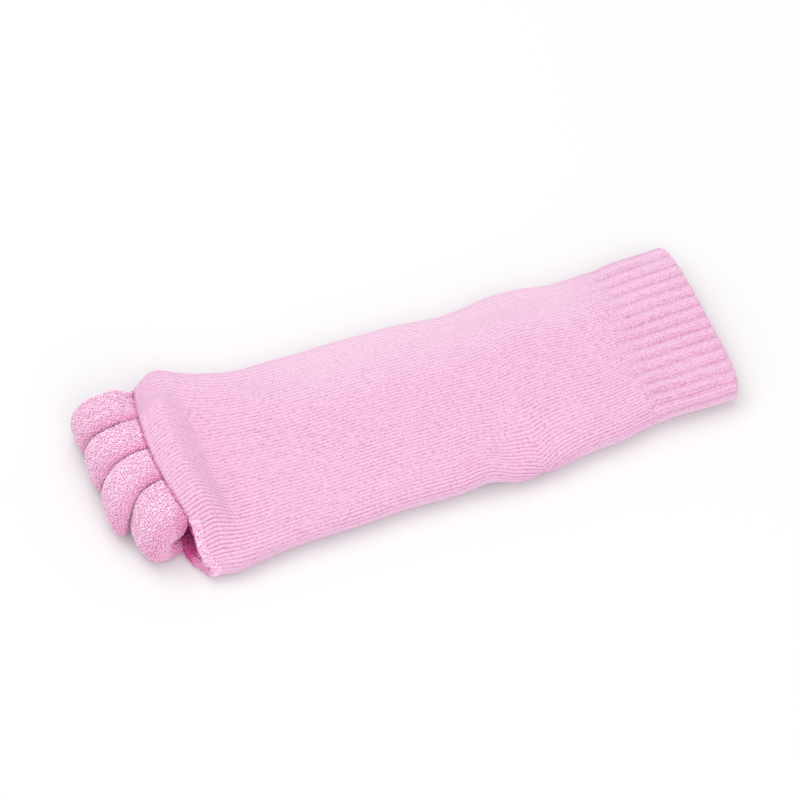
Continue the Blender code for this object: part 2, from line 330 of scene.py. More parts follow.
def slack_cloth(height, waves_along, girth, x):
    """The low, uneven swell of cloth that isn't stretched."""
    swell = height * np.sin(2 * math.pi * (4 * girth + waves_along * x))
    return swell * np.sin(2 * math.pi * (3 * girth - 17 * x))


def toe_wave(along, girth):
    """How deep the top layer dips behind the toes. Both faces of the cloth follow it."""
    past = (length_at(along) - toe_dip_x) / toe_dip_length
    return toe_dip * math.exp(-past ** 2) * plateau((girth - 0.27) / 0.42, 0.35, 0.35)


def inner_wave(along, girth):
    """The same wave as relief on the inner face."""
    return -toe_wave(along, girth)


def plain_relief(along, girth):
    """Wale ridges of the plain knit, a slack surface, and the crease of the heel's gore."""
    x = length_at(along)
    ridge = wale_ridge * (np.abs(np.sin(math.pi * wale_count * girth)) - 0.5)
    ridge = ridge * float(ease((x - 0.002) / 0.004))
    slack = slack_cloth(tube_slack, 23, girth, x)
    near = plateau((girth - 0.16) / 0.20, 0.4, 0.5)
    crease = heel_gore_crease * math.exp(-((x - heel_gore_x) / heel_gore_crease_length) ** 2) * near
    return ridge + slack - crease - toe_wave(along, girth) + rib_relief_height * rib_swing(along, girth)


def painted_sheen(along, girth):
    """Painted sheen: how much paler the yarn is under the near fold, lit from the table, and towards the
    far fold, where lit fuzz catches the light.
    """
    past_toes = float(ease((length_at(along) - 0.03) / 0.05))
    near = plateau((girth - 0.155) / 0.115, 0.45, 0.30) * (0.35 + 0.65 * past_toes)
    far = 0.85 * ease((girth - 0.50) / 0.23) * ease((0.92 - girth) / 0.1)
    on_leg = 1.0 - 0.55 * float(ease((along - 1.7) / 0.4))
    return np.maximum(near, (0.3 + 0.7 * past_toes) * on_leg * far)


def drawn_furrows(along, girth):
    """Painted shade that darkens the furrows between wales where they lie deep: the near fold, the heel's
    gore and the toes.
    """
    x = length_at(along)
    fold = plateau((girth - 0.245) / 0.085, 0.20, 0.65)
    gore = math.exp(-((x - heel_gore_x + 0.006) / 0.011) ** 2)
    gore = gore * plateau((girth - 0.22) / 0.17, 0.25, 0.60)
    toe = (1.0 - float(ease((x - 0.010) / 0.030))) * plateau((girth - 0.25) / 0.24, 0.2, 0.7)
    return np.maximum(np.maximum(0.55 * fold, 0.9 * gore), 1.2 * toe)


def knitted_panel(name, rings, columns_per_unit, lengths):
    """Rings of points joined into one closed piece. Its UV counts wales round and metres along."""
    points = np.array(rings)
    rows, columns = points.shape[:2]
    bpy.ops.mesh.primitive_grid_add(x_subdivisions=columns - 1, y_subdivisions=rows - 1)
    panel = bpy.context.object
    panel.name = name
    mesh = panel.data
    mesh.name = name
    mesh.vertices.foreach_set("co", points.reshape(-1).astype(np.float32))
    corners = np.empty(len(mesh.loops), dtype=np.int32)
    mesh.loops.foreach_get("vertex_index", corners)
    across = np.tile(np.arange(columns) / columns_per_unit, rows)
    along = np.repeat(np.array(lengths) / course_pitch, columns)
    spread = np.column_stack((across, along))[corners]
    mesh.uv_layers.active.data.foreach_set("uv", spread.reshape(-1).astype(np.float32))
    return panel


def shade_by(panel, **fields):
    """Stores numbers for each vertex of a piece, for its material to read."""
    for name, values in fields.items():
        attribute = panel.data.attributes.new(name, "FLOAT", "POINT")
        attribute.data.foreach_set("value", np.asarray(values, dtype=np.float32).reshape(-1))


def close_seams(panel):
    """Sews the panel's edges together and turns its faces outwards."""
    bpy.ops.object.select_all(action="DESELECT")
    panel.select_set(True)
    bpy.context.view_layer.objects.active = panel
    bpy.ops.object.mode_set(mode="EDIT")
    bpy.ops.mesh.select_all(action="SELECT")
    bpy.ops.mesh.remove_doubles(threshold=0.000002)
    bpy.ops.mesh.normals_make_consistent(inside=False)
    bpy.ops.mesh.select_all(action="DESELECT")
    bpy.ops.object.mode_set(mode="OBJECT")
    bpy.ops.object.shade_smooth_by_angle(angle=math.radians(55))


tube_columns = wale_count * columns_per_wale
tube_end = foot_length + leg_length
outer_lengths = np.linspace(rim_bulge, tube_end, round(tube_end / ring_pitch))
inner_lengths = np.linspace(rim_bulge, tube_end, round(tube_end / inner_ring_pitch))[::-1]
tube_rings = []
ring_lengths = []
for length in outer_lengths:
    tube_rings.append(knit_ring(along_at(length), 0.0, tube_columns, plain_relief))
    ring_lengths.append(length)
for length in inner_lengths:
    tube_rings.append(knit_ring(along_at(length), fabric_wall, tube_columns, inner_wave))
    ring_lengths.append(2 * tube_end - length)
rim_rings = rounded_rim(along_at(rim_bulge), tube_columns)
for number, ring in enumerate(reversed(rim_rings)):
    tube_rings.append(ring)
    ring_lengths.append(2 * tube_end + (number - rim_steps) * rim_arc / rim_steps)
tube_rings.append(tube_rings[0])
ring_lengths.append(2 * tube_end + rim_bulge)

sock_tube = knitted_panel("plain_knit_tube", tube_rings, columns_per_wale, ring_lengths)
ring_lengths = np.array(ring_lengths)
ring_inside = (ring_lengths > tube_end) & (ring_lengths < 2 * tube_end - rim_arc / 2)
from_mouth = np.clip(np.minimum(ring_lengths, 2 * tube_end - ring_lengths), 0.0, tube_end)
tube_places = [along_at(length) for length in from_mouth]
tube_girth = np.linspace(0.0, 1.0, tube_columns + 1)
shade_by(
    sock_tube,
    inside=np.repeat(ring_inside.astype(float), tube_columns + 1),
    ribbed=[rib_growth(place, tube_girth) for place in tube_places],
    pale=[painted_sheen(place, tube_girth) for place in tube_places],
    drawn=[drawn_furrows(place, tube_girth) for place in tube_places],
)
close_seams(sock_tube)


class Signal:
    """A number that varies over a surface. Python's own arithmetic on signals adds Math nodes."""

    def __init__(self, finish, socket):
        self.finish = finish
        self.socket = socket

    def math(self, operation, *others):
        return self.finish.node("ShaderNodeMath", {"operation": operation}, (self, *others))

    def __add__(self, other):
        return self.math("ADD", other)

    __radd__ = __add__

    def __sub__(self, other):
        return self.math("SUBTRACT", other)

    def __rsub__(self, other):
        return self.finish.node("ShaderNodeMath", {"operation": "SUBTRACT"}, (other, self))

    def __mul__(self, other):
        return self.math("MULTIPLY", other)

    __rmul__ = __mul__

    def __pow__(self, other):
        return self.math("POWER", other)

    def __abs__(self):
        return self.math("ABSOLUTE")

    def fraction(self):
        return self.math("FRACT")

    def wave(self):
        """A sine that goes once round for each whole number."""
        return (self * (2 * math.pi)).math("SINE")

    def step(self, start, end):
        """Smoothly 0 below start and 1 above end."""
        settings = {"interpolation_type": "SMOOTHSTEP", "clamp": True}
        inputs = {"Value": self, "From Min": start, "From Max": end, "To Min": 0.0, "To Max": 1.0}
        return self.finish.node("ShaderNodeMapRange", settings, inputs)


class Finish:
    """The material of one cloth, with a Principled shader at its end."""

    def __init__(self, name, sheen=0.25):
        self.material = bpy.data.materials.new(name)
        self.material.use_nodes = True
        self.tree = self.material.node_tree
        self.shader = self.tree.nodes["Principled BSDF"]
        self.shader.inputs["Roughness"].default_value = 0.95
        self.shader.inputs["Specular IOR Level"].default_value = 0.15
        self.shader.inputs["Sheen Weight"].default_value = sheen
        self.shader.inputs["Sheen Roughness"].default_value = 0.5
        self.shader.inputs["Sheen Tint"].default_value = (1.0, 0.80, 0.92, 1.0)

    def node(self, kind, settings, inputs, output=0):
        """Adds a node: its settings first, then the numbers or signals of its sockets."""
        made = self.tree.nodes.new(kind)
        for name, value in settings.items():
            setattr(made, name, value)
        pairs = inputs.items() if isinstance(inputs, dict) else enumerate(inputs)
        for name, value in pairs:
            self.feed(made.inputs[name], value)
        return Signal(self, made.outputs[output])

    def feed(self, socket, value):
        if isinstance(value, Signal):
            self.tree.links.new(value.socket, socket)
        else:
            socket.default_value = value

    def field(self, name):
        """A number stored on the mesh."""
        return self.node("ShaderNodeAttribute", {"attribute_name": name}, {}, "Fac")

    def place(self, source):
        """The surface's place: "Object" in metres, or "UV" in wales and courses."""
        return self.node("ShaderNodeTexCoord", {}, {}, source)

    def parts(self, vector):
        """The three numbers of a vector."""
        first = self.node("ShaderNodeSeparateXYZ", {}, (vector,), 0)
        made = first.socket.node
        return first, Signal(self, made.outputs[1]), Signal(self, made.outputs[2])

    def noise(self, vector, scale, detail=2.0):
        inputs = {"Vector": vector, "Scale": scale, "Detail": detail, "Roughness": 0.55}
        return self.node("ShaderNodeTexNoise", {}, inputs, "Fac")

    def mix(self, share, first, second):
        """Two colours mixed."""
        made = self.tree.nodes.new("ShaderNodeMix")
        made.data_type = "RGBA"
        self.feed(made.inputs["Factor"], share)
        self.feed(made.inputs[6], first)
        self.feed(made.inputs[7], second)
        return Signal(self, made.outputs[2])

    def colour(self, value):
        self.feed(self.shader.inputs["Base Color"], value)

    def bump(self, height, distance, strength=1.0):
        inputs = {"Height": height, "Distance": distance, "Strength": strength}
        normal = self.node("ShaderNodeBump", {}, inputs, "Normal")
        self.feed(self.shader.inputs["Normal"], normal)


yarn_pink = (0.775, 0.474, 0.648, 1.0)
# Painted shade in the furrows between wales and in the rib grooves.
furrow_shade_pink = (0.58, 0.215, 0.42, 1.0)
# Painted shade in the tube's hollow: its inner face is coloured darker and deeper.
inside_shade_pink = (0.68, 0.19, 0.40, 1.0)
# Painted sheen: the paler colour of lit fuzz and of light thrown up from the table.
sheen_pink = (0.78, 0.59, 0.70, 1.0)
heather_scale = 2300.0
fuzz_scale = 900.0
cloud_scale = 70.0
dash_stretch = (2.3, 0.8, 1.0)
stitch_depth = 0.00022
# How far painted shade darkens the rib grooves.
rib_groove_shade = 0.34


def stitches(wale, course):
    """Height of a plain knit's V-shaped stitches, and how deep a place lies between the wales."""
    off_middle = abs(wale.fraction() - 0.5)
    furrow = off_middle.step(0.20, 0.50)
    slant = (course + off_middle * 1.1).fraction()
    leg = 1.0 - abs(slant * 2.0 - 1.0) ** 2.0
    return leg, furrow


def knitted_look(finish, source, ribbed=0.0, drawn=0.0, pale=0.0):
    """Colour and relief of knitted rows: painted shade in broken dashes between the wales and in the rib
    grooves, a painted sheen on pale places, and fuzzy yarn of random tone.
    """
    wale, course, _ = finish.parts(source)
    leg, furrow = stitches(wale, course)
    # Painted shade in the grooves between the cuff's ribs.
    groove = (0.5 - 0.5 * (wale * 0.25).wave()).step(0.30, 1.0) * rib_groove_shade * ribbed
    metres = finish.place("Object")
    heather = finish.noise(metres, heather_scale, 1.0)
    fuzz = finish.noise(metres, fuzz_scale)
    cloud = finish.noise(metres, cloud_scale)
    stretched = finish.node("ShaderNodeVectorMath", {"operation": "MULTIPLY"}, (source, dash_stretch))
    dash = finish.noise(stretched, 1.0, 1.0).step(0.38, 0.62)
    dots = 0.5 - 0.5 * (course + 0.3 * heather).wave()
    # Painted shade: dark dashes and dots in the furrows between wales. Random heather and fuzz tone is
    # added below.
    shade_and_heather = furrow * (0.14 + 0.54 * dash + 0.50 * dots) * (0.45 + 0.9 * (cloud - 0.15))
    # More painted shade in the furrows where they lie deep.
    deep_furrow_shade = abs(wale.fraction() - 0.5).step(0.30, 0.48) * 0.55 * drawn
    shade_and_heather = shade_and_heather * (1.0 - 0.55 * ribbed) + deep_furrow_shade
    shade_and_heather = shade_and_heather + (heather - 0.5) * 2.4 + (fuzz - 0.5) * 1.6 + groove
    finish.bump((1.0 - furrow) * 0.6 + leg * 0.45 + fuzz * 0.5 + heather * 0.5, stitch_depth)
    cloth = finish.mix(shade_and_heather, yarn_pink, furrow_shade_pink)
    # Painted sheen towards the pale colour.
    return finish.mix(pale * 0.6, cloth, sheen_pink)


plain_knit = Finish("plain_knit")
tube_fields = [plain_knit.field(name) for name in ("ribbed", "drawn", "pale")]
cloth_colour = knitted_look(plain_knit, plain_knit.place("UV"), *tube_fields)
# The inner face gets painted shade.
plain_knit.colour(plain_knit.mix(plain_knit.field("inside"), cloth_colour, inside_shade_pink))
sock_tube.data.materials.clear()
sock_tube.data.materials.append(plain_knit.material)

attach(sock_tube, "root")
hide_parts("sock_tube")


# Rib cuff
# The band at the top of the leg: a two-by-two rib in the same yarn with elastic in it, knitted on to
# the leg, so its ribs stand out as rounded cords and its edge is scalloped.

rib_depth = 0.0007
cuff_inset = 0.00055
cuff_wale_height = 0.00008
cuff_slack = 0.00018
rib_inside_share = 0.6
cuff_outer_rings = 30
cuff_inner_rings = 10
columns_per_rib = 16
cuff_columns = rib_count * columns_per_rib
cuff_edge = foot_length + leg_length + cuff_length


def rib_relief(along, girth):
    """The ribs, the two wales on top of each, and a slack surface."""
    wales = cuff_wale_height * np.cos(4 * math.pi * rib_count * girth)
    slack = slack_cloth(cuff_slack, 29, girth, length_at(along))
    own = rib_relief_height * rib_swing(along, girth) + wales + slack
    started = float(ease((along - 2.0) / 0.25))
    return own * started + (plain_relief(along, girth) + cuff_inset) * (1.0 - started)


def flat_inside(along, girth):
    """The ribs as they show on the inside of the band."""
    return -rib_inside_share * rib_relief_height * rib_swing(along, girth)


cuff_rings = []
cuff_lengths = []
for length in np.linspace(tube_end, cuff_edge - rim_bulge, cuff_outer_rings):
    cuff_rings.append(knit_ring(along_at(length), cuff_inset, cuff_columns, rib_relief))
    cuff_lengths.append(length)
for angle in np.linspace(0.0, math.pi, rim_steps + 2)[1:-1]:
    inset = cuff_inset + (fabric_wall - rib_depth - cuff_inset) / 2 * (1.0 - math.cos(angle))
    ring = knit_ring(along_at(cuff_edge - rim_bulge), inset, cuff_columns, rib_relief)
    ring[:, 0] += rim_bulge * math.sin(angle)
    cuff_rings.append(ring)
    cuff_lengths.append(cuff_edge)
for length in np.linspace(cuff_edge - rim_bulge, tube_end, cuff_inner_rings):
    cuff_rings.append(knit_ring(along_at(length), fabric_wall - rib_depth, cuff_columns, flat_inside))
    cuff_lengths.append(2 * cuff_edge - length)
cuff_rings.append(cuff_rings[0])
cuff_lengths.append(2 * cuff_edge)

rib_cuff = knitted_panel("ribbed_cuff", cuff_rings, columns_per_rib / 4, cuff_lengths)
cuff_inside = np.array(cuff_lengths) > cuff_edge
cuff_inside[-1] = False
cuff_girth = np.linspace(0.0, 1.0, cuff_columns + 1)
cuff_places = [along_at(min(length, cuff_edge)) for length in cuff_lengths]
shade_by(
    rib_cuff,
    inside=np.repeat(cuff_inside.astype(float), cuff_columns + 1),
    ribbed=[rib_growth(place, cuff_girth) for place in cuff_places],
    pale=[painted_sheen(place, cuff_girth) for place in cuff_places],
    drawn=[drawn_furrows(place, cuff_girth) for place in cuff_places],
)
close_seams(rib_cuff)

rib_knit = Finish("rib_knit")
cuff_fields = [rib_knit.field(name) for name in ("ribbed", "drawn", "pale")]
rib_colour = knitted_look(rib_knit, rib_knit.place("UV"), *cuff_fields)
# The inner face gets painted shade.
rib_knit.colour(rib_knit.mix(rib_knit.field("inside"), rib_colour, inside_shade_pink))
rib_cuff.data.materials.clear()
rib_cuff.data.materials.append(rib_knit.material)

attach(rib_cuff, "root")
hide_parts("rib_cuff")


# Heel pocket
# The pocket that the heel fills when the sock is worn: two layers of the same plain knit, folded flat
# under the ankle, where they hold the heel's underside up a little.

heel_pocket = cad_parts["heel_pocket"].copy()
heel_pocket.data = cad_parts["heel_pocket"].data.copy()
heel_pocket.name = "folded_heel"
bpy.context.scene.collection.objects.link(heel_pocket)
heel_pocket.parent = None
for key in list(heel_pocket.keys()):
    del heel_pocket[key]
bpy.ops.object.select_all(action="DESELECT")
heel_pocket.select_set(True)
bpy.context.view_layer.objects.active = heel_pocket
bpy.ops.object.mode_set(mode="EDIT")
bpy.ops.mesh.select_all(action="SELECT")
bpy.ops.mesh.remove_doubles(threshold=0.00001)
bpy.ops.mesh.tris_convert_to_quads()
bpy.ops.object.mode_set(mode="OBJECT")
bpy.ops.object.shade_smooth()

flat_wale_pitch = 0.00144
folded_knit = Finish("folded_knit")
turned = folded_knit.node("ShaderNodeMapping", {"vector_type": "POINT"}, {
    "Vector": folded_knit.place("Object"),
    "Rotation": (0.0, 0.0, math.pi / 2),
    "Scale": (1.0 / flat_wale_pitch, 1.0 / course_pitch, 1.0),
})
folded_knit.colour(knitted_look(folded_knit, turned))
heel_pocket.data.materials.clear()
heel_pocket.data.materials.append(folded_knit.material)

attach(heel_pocket, "root")
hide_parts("heel_pocket")


# Toe separators
# Four fat rolls of terry, each folded from the top lip of the toe mouth round to its underside. The
# loops of the pile are short arches of the same yarn. Dark clefts part the rolls: real shadow in the
# gaps, with painted shade on each roll's near side, at its roots and where it tucks under the rim.

separator_reach = 0.0214
separator_height = 0.0208
separator_thickness = 0.0095
separator_root_thickness = 0.004
separator_plump_length = 0.008
separator_lean = 0.003
lip_squareness = 9.0
tip_squareness = 3.2
squared_length = 0.012
separator_top_squareness = 2.0
separator_bottom_squareness = 3.4
cleft_gap = 0.0005
tuck_under_rim = 0.0022
tuck_drop = 0.0006
tuck_length = 0.0016
pile_sink = 0.0004

loop_row_pitch = 0.00104
loop_side_pitch = 0.00094
loop_span = 0.00094
loop_height = 0.00052
loop_radius = 0.00037
loop_sink = 0.00018
loop_rings = 6
loop_sides = 6

Cleft = namedtuple("Cleft", "root foot tip lateness")
CLEFTS = (
    Cleft(0.462, 0.372, 0.466, 1.5),
    Cleft(0.280, 0.278, 0.276, 1.0),
    Cleft(0.119, 0.108, 0.057, 2.0),
    Cleft(-0.047, -0.072, -0.192, 2.0),
    Cleft(-0.246, -0.311, -0.346, 0.5),
)
Roll = namedtuple("Roll", "reach height lean near_round root_shade")
ROLLS = (
    Roll(1.00, 1.00, 1.00, 0.0010, 0.3),
    Roll(0.98, 0.98, 1.00, 0.0010, 0.3),
    Roll(0.95, 0.96, 1.00, 0.0010, 0.3),
    Roll(0.70, 0.88, 0.50, 0.0040, 0.5),
)


def cleft_line(cleft, share, low):
    """Y of a cleft, from the rim (share 0) to the tips (share 1). low is 1 on the table."""
    mouth_middle = SECTIONS[0].sideways * foot_width
    lip = cleft.root + (cleft.foot - cleft.root) * low
    return mouth_middle + toe_mouth_width * (lip + (cleft.tip - lip) * share ** cleft.lateness)


def squared(wave, squareness):
    """Sines or cosines bent so that the circle they belong to turns squarer. 2 leaves it round."""
    return np.copysign(np.abs(wave) ** (2 / squareness), wave)


def roll_path(roll):
    """Places along a folded roll, from its top root over the bend to its bottom root."""
    reach = roll.reach * separator_reach
    height = roll.height * separator_height
    bend_radius = (height - separator_thickness) / 2
    arm = reach - separator_thickness / 2 - bend_radius
    places = np.linspace(-tuck_under_rim, arm, 20)[:-1]
    path = [(place, 0.0, 1.0) for place in places]
    for angle in np.linspace(math.pi / 2, -math.pi / 2, 33):
        squareness = separator_top_squareness if angle > 0 else separator_bottom_squareness
        path.append((arm, squared(math.cos(angle), squareness), squared(math.sin(angle), squareness)))
    return path + [(place, 0.0, -1.0) for place in places[::-1]]


def roll_ring(roll, step, far_cleft, near_cleft, turns, sink):
    """Points round a roll at one step of its path."""
    arm_place, ahead, up = step
    reach = roll.reach * separator_reach
    height = roll.height * separator_height
    bend_radius = (height - separator_thickness) / 2
    place = arm_place + bend_radius * ahead
    plump = math.sin(math.pi / 2 * min(max(place / separator_plump_length, 0.0), 1.0))
    thickness = separator_root_thickness + plump * (separator_thickness - separator_root_thickness)
    spread = float(ease(place / reach))
    rounding = float(ease(place / squared_length))
    squareness = lip_squareness + (tip_squareness - lip_squareness) * rounding
    out = (thickness / 2 - sink) * squared(np.sin(turns), squareness)
    forward = place + out * ahead + roll.lean * separator_lean * spread * (1.0 - up) / 2
    z = height / 2 + (height / 2 - thickness / 2 + out) * up
    splayed = ease(forward / (separator_reach + separator_lean))
    low = 1.0 - z / separator_height
    far_edge = cleft_line(far_cleft, splayed, low) - cleft_gap / 2 - sink
    near_edge = cleft_line(near_cleft, splayed, low) + cleft_gap / 2 + sink
    across = squared(np.cos(turns), squareness)
    y = (far_edge + near_edge) / 2 + (far_edge - near_edge) / 2 * across
    if up > 0:
        z = z + (Profile(0.0).top(y) - height) * (1.0 - float(ease(place / separator_plump_length)))
        z = z - tuck_drop * (1.0 - float(ease(place / tuck_length)))
    x = lip_drawback(y, float(up > 0)) * (1.0 - spread) - seam_gap - forward
    x = x + roll.near_round * spread * ((1.0 - across) / 2) ** 3
    return np.column_stack((mouth_x + x, centre_y + y, np.maximum(z, 0.00005)))


def ring_quads(rings, around):
    """Faces between neighbouring closed rings of points."""
    quads = []
    for low in range(0, (rings - 1) * around, around):
        high = low + around
        for i in range(around):
            j = (i + 1) % around
            quads.append((low + i, low + j, high + j, high + i))
    return quads


def pile_loops(places, normals, ways, seed, size=1.0):
    """Small arches of yarn on a surface, each standing on its normal across its way."""
    dice = np.random.default_rng(seed)
    count = len(places)
    lean = dice.uniform(-0.45, 0.45, (count, 1))
    side = np.cross(normals, ways)
    side /= np.linalg.norm(side, axis=1)[:, None]
    ways = np.cross(side, normals)
    turn = np.where(dice.random((count, 1)) < 0.5, 0.55, -0.55) + dice.uniform(-0.3, 0.3, (count, 1))
    along = ways * np.cos(turn) + side * np.sin(turn)
    across = np.cross(normals, along)
    up = normals * np.cos(lean) + across * np.sin(lean)
    across = np.cross(up, along)
    span = size * loop_span * dice.uniform(0.8, 1.2, (count, 1, 1))
    height = size * loop_height * dice.uniform(0.6, 1.35, (count, 1, 1))
    radius = size * loop_radius
    angles = np.linspace(math.radians(-25), math.radians(205), loop_rings)[None, :, None]
    run = -np.cos(angles) * span / 2
    rise = np.sin(angles) * height
    middle = places[:, None, :] + along[:, None, :] * run + up[:, None, :] * rise
    outward = along[:, None, :] * (-np.cos(angles)) + up[:, None, :] * np.sin(angles)
    around = np.linspace(0.0, 2 * math.pi, loop_sides, endpoint=False)
    shell = (
        middle[:, :, None, :]
        + outward[:, :, None, :] * (radius * np.cos(around))[None, None, :, None]
        + across[:, None, None, :] * (radius * np.sin(around))[None, None, :, None]
    )
    quads = ring_quads(loop_rings, loop_sides)
    last = (loop_rings - 1) * loop_sides
    quads += [(3, 2, 1, 0), (5, 4, 3, 0)]
    quads += [(last, last + 1, last + 2, last + 3), (last, last + 3, last + 4, last + 5)]
    starts = np.arange(count)[:, None, None] * loop_rings * loop_sides
    faces = (np.array(quads)[None, :, :] + starts).reshape(-1, 4)
    facing = 0.5 + 0.5 * np.cos(around)[None, None, :]
    grid = (count, loop_rings, loop_sides)
    pile = np.broadcast_to(np.clip(np.sin(angles), 0.0, 1.0) * facing, grid)
    tone = np.broadcast_to(dice.random((count, 1, 1)), grid)
    return shell.reshape(-1, 3), faces, pile.reshape(-1), tone.reshape(-1)


def quad_piece(name, points, faces, **fields):
    """A mesh of four-sided faces with the terry's fields."""
    mesh = bpy.data.meshes.new(name)
    mesh.vertices.add(len(points))
    mesh.vertices.foreach_set("co", points.reshape(-1).astype(np.float32))
    mesh.loops.add(faces.size)
    mesh.loops.foreach_set("vertex_index", faces.reshape(-1).astype(np.int32))
    mesh.polygons.add(len(faces))
    mesh.polygons.foreach_set("loop_start", np.arange(0, faces.size, 4, dtype=np.int32))
    mesh.update(calc_edges=True)
    piece = bpy.data.objects.new(name, mesh)
    bpy.context.scene.collection.objects.link(piece)
    shade_by(piece, **fields)
    bpy.ops.object.select_all(action="DESELECT")
    piece.select_set(True)
    bpy.context.view_layer.objects.active = piece
    bpy.ops.object.shade_smooth()
    return piece


# Painted shade at the loops' roots and flanks.
root_shade_pink = (0.73, 0.36, 0.56, 1.0)
# Painted highlight on the loops' tops.
tip_highlight_pink = (0.98, 0.74, 0.88, 1.0)
# Painted shade in creases: on the rolls' near sides, at their roots, under the rim and in the toe mouth.
crease_shade_pink = (0.72, 0.24, 0.47, 1.0)
# Painted deep shade: the seam's cleft and deep inside the toe mouth.
deep_shade_pink = (0.56, 0.075, 0.26, 1.0)


def looped_look(finish):
    """Loops with a painted highlight on top and painted shade at their roots, in creases and at the seam.
    """
    fluff = finish.noise(finish.place("Object"), 1500.0)
    # Painted highlight on each loop's top and painted shade at its roots, with random tone.
    raised = finish.field("pile").step(0.10, 0.95) * (0.35 + 0.65 * finish.field("tone"))
    loops = finish.mix(raised + (fluff - 0.5) * 0.5, root_shade_pink, tip_highlight_pink)
    # The crease field paints shade, and deep shade above 1.
    crease = finish.field("crease")
    creased = finish.mix(crease.step(0.0, 1.0) * 0.8, loops, crease_shade_pink)
    finish.colour(finish.mix(crease.step(1.0, 2.0), creased, deep_shade_pink))
    finish.bump(fluff, 0.0003, 0.8)
    return finish.material


terry = looped_look(Finish("terry", sheen=0.30))
shaded_terry = looped_look(Finish("shaded_terry", sheen=0.04))

ring_turns = 48
crease_share = 0.52
tuck_shade = 0.55
tuck_shade_length = 0.0012
root_shade_length = 0.008
table_clearance = 0.0012
roll_seed = 100
for number, roll in enumerate(ROLLS, start=1):
    far_cleft = CLEFTS[number - 1]
    near_cleft = CLEFTS[number]
    path = roll_path(roll)
    turns = np.linspace(0.0, 2 * math.pi, ring_turns, endpoint=False)
    core = np.array([roll_ring(roll, step, far_cleft, near_cleft, turns, pile_sink) for step in path])
    rows = len(path)
    core_faces = ring_quads(rows, ring_turns)
    for first in (0, (rows - 1) * ring_turns):
        last = first + ring_turns - 1
        for i in range(ring_turns // 2 - 1):
            core_faces.append((first + i, first + i + 1, last - 1 - i, last - i))
    core_points = core.reshape(-1, 3)
    core_faces = np.array(core_faces)
    tree = BVHTree.FromPolygons([Vector(p) for p in core_points], core_faces.tolist())

    far_line = core[:, :, 1].max(axis=1)[:, None]
    near_line = core[:, :, 1].min(axis=1)[:, None]
    # Painted shade on each roll's near side, at its roots and where it tucks under the rim.
    turned_near = ease(((far_line - core[:, :, 1]) / (far_line - near_line) - 0.55) / 0.45)
    from_rim = np.array([step[0] + step[1] * separator_thickness for step in path])[:, None]
    tucked = 1.0 - ease(from_rim / tuck_shade_length)
    rooted = 1.0 - ease(from_rim / root_shade_length)
    side_shade = (crease_share + roll.root_shade * rooted) * turned_near
    core_crease = np.maximum(side_shade, tuck_shade * tucked)
    centres = core.mean(axis=1)
    steps = np.linalg.norm(np.diff(core[:, ring_turns // 4], axis=0), axis=1)
    walked = np.concatenate(((0.0,), np.cumsum(steps)))
    places = []
    normals = []
    ways = []
    creases = []
    dice = np.random.default_rng(roll_seed + number)
    for at in np.arange(loop_row_pitch / 2, walked[-1], loop_row_pitch):
        row = np.interp(at, walked, np.arange(rows))
        low = min(int(row), rows - 2)
        ring = core[low] * (low + 1 - row) + core[low + 1] * (row - low)
        lap = np.vstack((ring, ring[:1]))
        around = np.concatenate(((0.0,), np.cumsum(np.linalg.norm(np.diff(lap, axis=0), axis=1))))
        count = int(around[-1] / loop_side_pitch)
        spots = (np.arange(count) + dice.uniform(-0.2, 0.2, count) + (low % 2) / 2) / count * around[-1]
        ring_points = np.column_stack([np.interp(spots, around, lap[:, axis]) for axis in range(3)])
        ring_creases = np.interp(spots, around, np.append(core_crease[low], core_crease[low][0]))
        way = centres[low + 1] - centres[low]
        for point, crease in zip(ring_points, ring_creases):
            found, normal, _, _ = tree.find_nearest(Vector(point))
            centre = Vector(centres[low] * 0.5 + centres[low + 1] * 0.5)
            if (found - centre).dot(normal) < 0:
                normal = -normal
            if found.z < table_clearance and normal.z < -0.5:
                continue
            places.append(found)
            normals.append(normal)
            ways.append(way)
            creases.append(crease)
    normals = np.array([tuple(n) for n in normals])
    places = np.array([tuple(p) for p in places]) - normals * loop_sink
    ways = np.array(ways)
    loop_points, loop_faces, pile, tone = pile_loops(places, normals, ways, number)
    points = np.vstack((core_points, loop_points))
    faces = np.vstack((core_faces, loop_faces + len(core_points)))
    pile = np.concatenate((np.full(len(core_points), 0.45), pile))
    tone = np.concatenate((np.full(len(core_points), 0.5), tone))
    crease = np.concatenate((core_crease.reshape(-1), np.repeat(creases, loop_rings * loop_sides)))
    points[:, 2] = np.maximum(points[:, 2], 0.00003)
    separator = quad_piece(f"terry_roll_{number}", points, faces, pile=pile, tone=tone, crease=crease)
    separator.data.materials.append(terry)
    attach(separator, "root")
    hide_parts(f"toe_separator_{number}")


# Toe mouth's terry
# The terry inside the sock, where it shows at the open toe mouth, and the narrow band of it that is
# turned out round the near corner and sewn down beside the fourth separator.

hem_width = 0.0034
# Painted shade on the turned-out hem: only a little, as it lies in the light.
hem_shade = 0.20
shade_depth = 0.0060
shade_start_y = -0.0385
shade_run_y = 0.0110
lip_layers = (0.0, 0.0008, 0.0016)
terry_depth = 0.0130
hem_sink = 0.0006
mouth_loop_size = 1.30
strip_columns = 720
strip_samples = 400
strip_step = 0.0005
last_girth = 0.372


